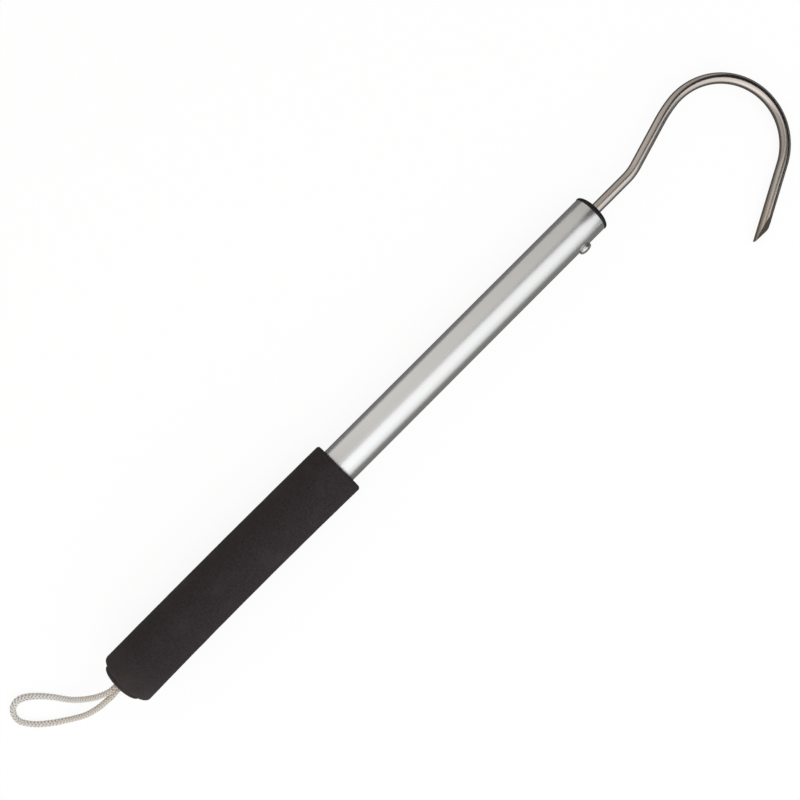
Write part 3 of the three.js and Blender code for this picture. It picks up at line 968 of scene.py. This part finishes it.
def grindPoint(hook, stations, tipStart):
    # the steep facet ends on the wire's inside, and the long ones meet its middle line at the tip
    values = hookValues
    radius, mouth = values["radius"], shaftSizes["mouth"]
    end, heading = stations[-1]
    turn = shaft.to_3x3()
    tip = onShaft(mouth + end[0], end[1])
    along = turn @ Vector((math.cos(heading), math.sin(heading), 0))
    outward = turn @ Vector((-math.sin(heading), math.cos(heading), 0))
    upward = turn @ Vector((0, 0, 1))
    steep = math.atan2(2 * radius, values["steepFacet"])
    shallow = math.atan2(radius, values["longFacet"])
    planes = [(tip - outward * radius, outward, steep)]
    for side in (1, -1):
        facet = math.radians(side * values["facetTurn"])
        planes.append((tip, outward * math.cos(facet) + upward * math.sin(facet), shallow))
    # the very tip is a little blunt
    blunt = tip - outward * radius - along * values["bluntWidth"]
    planes.append((blunt, outward, math.radians(values["bluntAngle"])))
    mesh = bmesh.new()
    mesh.from_mesh(hook.data)
    for point, away, slope in planes:
        normal = away * math.cos(slope) + along * math.sin(slope)
        near = [v for v in mesh.verts if (v.co - tip).dot(along) > -values["tipPart"] - 1e-6
                and (v.co - tip).length < values["tipPart"] * 1.2]
        chosen = set(near)
        faces = [f for f in mesh.faces if all(v in chosen for v in f.verts)]
        edges = [e for e in mesh.edges if all(v in chosen for v in e.verts)]
        cut = bmesh.ops.bisect_plane(mesh, geom=[*near, *edges, *faces], dist=1e-8, plane_co=point,
                                     plane_no=normal, clear_outer=True)
        border = [g for g in cut["geom_cut"] if isinstance(g, bmesh.types.BMEdge)]
        filled = bmesh.ops.edgeloop_fill(mesh, edges=border)
        for face in filled["faces"]:
            face.material_index = 1
            face.smooth = False
    groundMap(mesh, tip, along, outward)
    bmesh.ops.recalc_face_normals(mesh, faces=mesh.faces)
    mesh.to_mesh(hook.data)
    mesh.free()
    hook.data.set_sharp_from_angle(angle=math.radians(10.0))


def groundMap(mesh, tip, along, outward):
    # on the ground facets the wrap map is turned, so that the marks of the grinding run across
    wrap = mesh.loops.layers.uv["wrap"]
    side = along.cross(outward)
    for face in mesh.faces:
        if face.material_index == 1:
            for loop in face.loops:
                away = loop.vert.co - tip
                loop[wrap].uv = (away.dot(along), away.dot(side) + away.dot(outward))


hook = settle(makeHook(), "hook_steel", "hook")
print("hook made")


# Screw
screwFinish = dict(
    hookFinish, dark=(0.50, 0.49, 0.48, 1.0), light=(0.62, 0.61, 0.60, 1.0),
    lineWidth=0.0004, lineLength=0.0006, roughness=0.36,
)
# painted shade: the recess has the screw's metal in a much darker colour, as the shade inside it
recessShadeFinish = dict(screwFinish, dark=(0.10, 0.095, 0.09, 1.0), light=(0.16, 0.15, 0.145, 1.0))


def threadTree(metal):
    # a tree that winds a ridge round Z, along which it is given a screw
    names = ("Core Radius", "Ridge", "Turns", "Height", "Start")
    graph, given = newTree("threadRound", {name: "Float" for name in names})
    spiral = graph.add("GeometryNodeCurveSpiral", None, {
        "Resolution": 32, "Rotations": given.out("Turns"), "Start Radius": given.out("Core Radius"),
        "End Radius": given.out("Core Radius"), "Height": given.out("Height"),
    })
    ridge = graph.add("GeometryNodeCurvePrimitiveCircle", None, {
        "Resolution": 4, "Radius": given.out("Ridge"),
    })
    ridges = graph.add("GeometryNodeCurveToMesh", None, {
        "Curve": spiral, "Profile Curve": ridge, "Fill Caps": True,
    })
    ridges = graph.add("GeometryNodeTransform", None, {
        "Geometry": ridges, "Translation": graph.joined(0.0, 0.0, given.out("Start")),
    })
    both = graph.together(given.out("Geometry"), ridges)
    # the recess keeps its own material, the second one, whose dark colour is painted shade
    plain = 1 - graph.add("GeometryNodeInputMaterialIndex")
    return endTree(graph, both, metal, plain)


def recessCutter(values, top, armTurn, metal):
    # one arm of the cross, which narrows as it goes in
    arm = shaft @ screwLine() @ Matrix.Rotation(math.radians(armTurn), 4, "X")
    mesh = bmesh.new()
    corners = []
    for depth, share in ((top + values["recessDepth"], values["mouthShare"]),
                         (top - values["recessDepth"], values["floorShare"])):
        half = values["recessLength"] / 2 * share
        thin = values["recessWidth"] / 2 * (share + 1) / 2
        for y, z in ((-half, -thin), (half, -thin), (half, thin), (-half, thin)):
            corners.append(mesh.verts.new(arm @ Vector((depth, y, z))))
    mesh.faces.new(corners[:4])
    mesh.faces.new(corners[4:])
    for i in range(4):
        after = (i + 1) % 4
        mesh.faces.new((corners[i], corners[after], corners[4 + after], corners[4 + i]))
    bmesh.ops.recalc_face_normals(mesh, faces=mesh.faces)
    for face in mesh.faces:
        face.material_index = 1
    return finishMesh("recess", mesh, metal)


def makeScrew():
    values = screwValues
    metal = drawnMetal("platedScrew", screwFinish)
    seat = shaftSizes["tubeRadius"] + values["seatGap"]
    top = seat + values["headHeight"]
    head, rim, edge = values["headRadius"], values["headRim"], values["headEdge"]
    core, shank = values["coreRadius"], values["shankRadius"]
    threadStart, threadEnd = values["pointLength"] - values["tip"], seat - 2 * values["neck"]
    crown = domePoints(seat + rim, head, values["headHeight"] - rim, 0.0, 18)
    outline = [
        (-values["tip"], 0.0), (threadStart, core), (threadEnd, core),
        (seat - values["neck"], shank), (seat, shank), (seat, head - edge), (seat + edge, head), *crown,
    ]
    screw = loft("crossScrew", turnedRings(outline, values["sides"], screwLine()), metal)
    screw.data.materials.append(drawnMetal("screwRecessShade", recessShadeFinish))
    # the head is pressed down round the tube
    toLine = (shaft @ screwLine()).inverted()
    for vertex in screw.data.vertices:
        place = toLine @ vertex.co
        if abs(place.x - seat) < edge * 1.5:
            place.x -= seat - math.sqrt(seat ** 2 - place.z ** 2)
            vertex.co = shaft @ screwLine() @ place
    for quarter in (0, 90):
        screw = cutWith(screw, recessCutter(values, top, values["recessTurn"] + quarter, metal))
    # the thread is wound round Z, so the screw stands up for it and is laid back
    laid = shaft @ screwLine() @ Matrix.Rotation(math.radians(90), 4, "Y")
    screw.data.transform(laid.inverted())
    height = threadEnd - threadStart
    applyTree(screw, threadTree(metal), {
        "Core Radius": core, "Ridge": shank - core, "Turns": height / values["threadPitch"],
        "Height": height, "Start": threadStart,
    })
    screw.data.transform(laid)
    return screw


screw = settle(makeScrew(), "screw_steel", "hook_screw")
print("screw made")


# Floor, light and what the metal reflects
stageValues = {
    "floorSize": 60.0, "floorLevel": 0.96, "whiteShare": 0.9,
    "skyColor": (1.02, 1.0, 0.95, 1.0), "skyLevel": 1.2,
    # the sky's share of that level along X, on the far side and on the open side of the shaft
    "farShares": ((0.0, 0.68), (0.2, 0.60), (0.29, 0.52), (0.36, 0.42), (0.405, 0.44), (0.44, 0.93),
                  (0.5, 0.87), (0.52, 0.775), (0.55, 0.67), (0.6, 0.655), (0.64, 0.60), (0.8, 0.54)),
    "openShares": ((0.0, 0.78), (0.2, 0.84), (0.35, 0.81), (0.44, 0.76), (0.49, 0.775),
                   (0.6, 0.667), (0.635, 0.76), (0.7, 0.62), (0.8, 0.54)),
    "lampDistance": 1.2,
    # each lamp runs along the shaft, between two angles from overhead towards the open side
    "lamps": (
        {"start": -1.6, "end": 0.95, "inner": 3.0, "outer": 80.0, "level": 0.42},
        {"start": -1.6, "end": 0.95, "inner": 10.0, "outer": 60.0, "level": 0.215},
        {"start": -1.6, "end": -0.35, "inner": 2.0, "outer": 70.0, "level": 0.35},
    ),
    "lampColor": (0.96, 1.0, 1.08),
    "darkFloor": 0.26, "darkFloorBox": (-0.8, -0.75, 0.17, 0.2), "darkFloorHeight": 0.0002,
    "hookFloor": 0.19, "hookFloorBox": (0.17, -0.75, 0.8, 0.3),
    # the gap between the lit sides, which widens beyond the hook
    "darkGap": 0.03, "gapHeight": 0.9,
    "gapOutline": ((0.06, 0.17), (0.06, 0.13), (0.405, 0.105), (0.42, -0.06), (0.50, -0.16),
                   (0.62, -0.29), (0.76, -0.42), (0.92, -0.56), (1.06, -1.4), (1.6, -6.5), (8.0, -6.5),
                   (8.0, 3.2), (2.2, 1.0), (1.28, 0.62), (0.80, 0.52), (0.53, 0.36), (0.44, 0.18),
                   (0.41, 0.142)),
}


def flatPiece(name, corners, height, material):
    mesh = bmesh.new()
    mesh.faces.new([mesh.verts.new((x, y, height)) for x, y in corners])
    piece = finishMesh(name, mesh, material)
    return piece


def flatPaint(name, level):
    material, graph, shader = newMaterial(name)
    feed(graph, shader, color=grey(level), roughness=1.0, gloss=0.0)
    return material


def whiteFloor(level, share):
    # the camera, metal and glass see most of the floor as plain white, and the rest keeps its shadow
    material = flatPaint("paleFloor", level)
    graph = Graph(material.node_tree)
    ray = graph.add("ShaderNodeLightPath")
    seen = ray.out("Is Camera Ray") + ray.out("Is Glossy Ray") + ray.out("Is Transmission Ray")
    white = graph.add("ShaderNodeEmission", None, {"Color": grey(1.0), "Strength": 1.0})
    both = graph.add("ShaderNodeMixShader", None, {"Fac": seen * share, 2: white})
    output = next(n for n in material.node_tree.nodes if n.type == "OUTPUT_MATERIAL")
    paint = output.inputs["Surface"].links[0].from_socket
    graph.tree.links.new(paint, both.node.inputs[1])
    graph.tree.links.new(both.socket, output.inputs["Surface"])
    return material


def rectangle(low, high):
    return ((low[0], low[1]), (high[0], low[1]), (high[0], high[1]), (low[0], high[1]))


def makeLamp(values, number, own):
    inner, outer = math.radians(own["inner"]), math.radians(own["outer"])
    middle, half = (inner + outer) / 2, (outer - inner) / 2
    distance = values["lampDistance"]
    lamp = bpy.data.lights.new("softBox%d" % number, "AREA")
    lamp.shape, lamp.color = "RECTANGLE", values["lampColor"]
    lamp.size = own["end"] - own["start"]
    lamp.size_y = 2 * distance * math.tan(half)
    lamp.energy = own["level"] * math.pi * lamp.size * lamp.size_y
    holder = bpy.data.objects.new("softBox%d" % number, lamp)
    bpy.context.scene.collection.objects.link(holder)
    away = Vector((0, -math.sin(middle), math.cos(middle)))
    side = Vector((1, 0, 0))
    turned = Matrix((side, away.cross(side), away)).transposed().to_4x4()
    place = onShaft(0) + away * distance
    place.x = (own["start"] + own["end"]) / 2
    holder.matrix_world = Matrix.Translation(place) @ turned
    holder.visible_camera = False


def makeSky(values):
    # its level changes along X, and between the open side and the far side of the shaft
    world = bpy.data.worlds.new("sky")
    world.use_nodes = True
    graph = Graph(world.node_tree)
    way = graph.add("ShaderNodeTexCoord").out("Generated")
    split = graph.add("ShaderNodeSeparateXYZ", None, {0: way})
    background = world.node_tree.nodes["Background"]
    background.inputs["Color"].default_value = values["skyColor"]
    x, y = split * 0.5 + 0.5, split.out(1) * 0.5 + 0.5
    share = graph.mixed(graph.ramp(y, (0.40, 0.0), (0.54, 1.0)), graph.ramp(x, *values["openShares"]),
                        graph.ramp(x, *values["farShares"]))
    strength = share * values["skyLevel"]
    graph.tree.links.new(strength.socket, background.inputs["Strength"])
    bpy.context.scene.world = world


def makeStage(values):
    half = values["floorSize"] / 2
    floor = whiteFloor(values["floorLevel"], values["whiteShare"])
    flatPiece("floor", rectangle((-half, -half), (half, half)), 0.0, floor)
    box, hookBox, height = values["darkFloorBox"], values["hookFloorBox"], values["darkFloorHeight"]
    cards = (
        flatPiece("darkFloorCard", rectangle(box[:2], box[2:]), height,
                  flatPaint("darkFloor", values["darkFloor"])),
        flatPiece("hookFloorCard", rectangle(hookBox[:2], hookBox[2:]), height,
                  flatPaint("hookFloor", values["hookFloor"])),
        flatPiece("darkGapCard", values["gapOutline"], values["gapHeight"],
                  flatPaint("darkGap", values["darkGap"])),
    )
    for card in cards:  # only the metal's reflections see the cards
        for kind in ("camera", "diffuse", "shadow", "transmission", "volume_scatter"):
            setattr(card, "visible_" + kind, False)
    for number, own in enumerate(values["lamps"], 1):
        makeLamp(values, number, own)
    makeSky(values)


makeStage(stageValues)
bpy.context.scene.view_settings.view_transform = "Standard"
print("stage set")
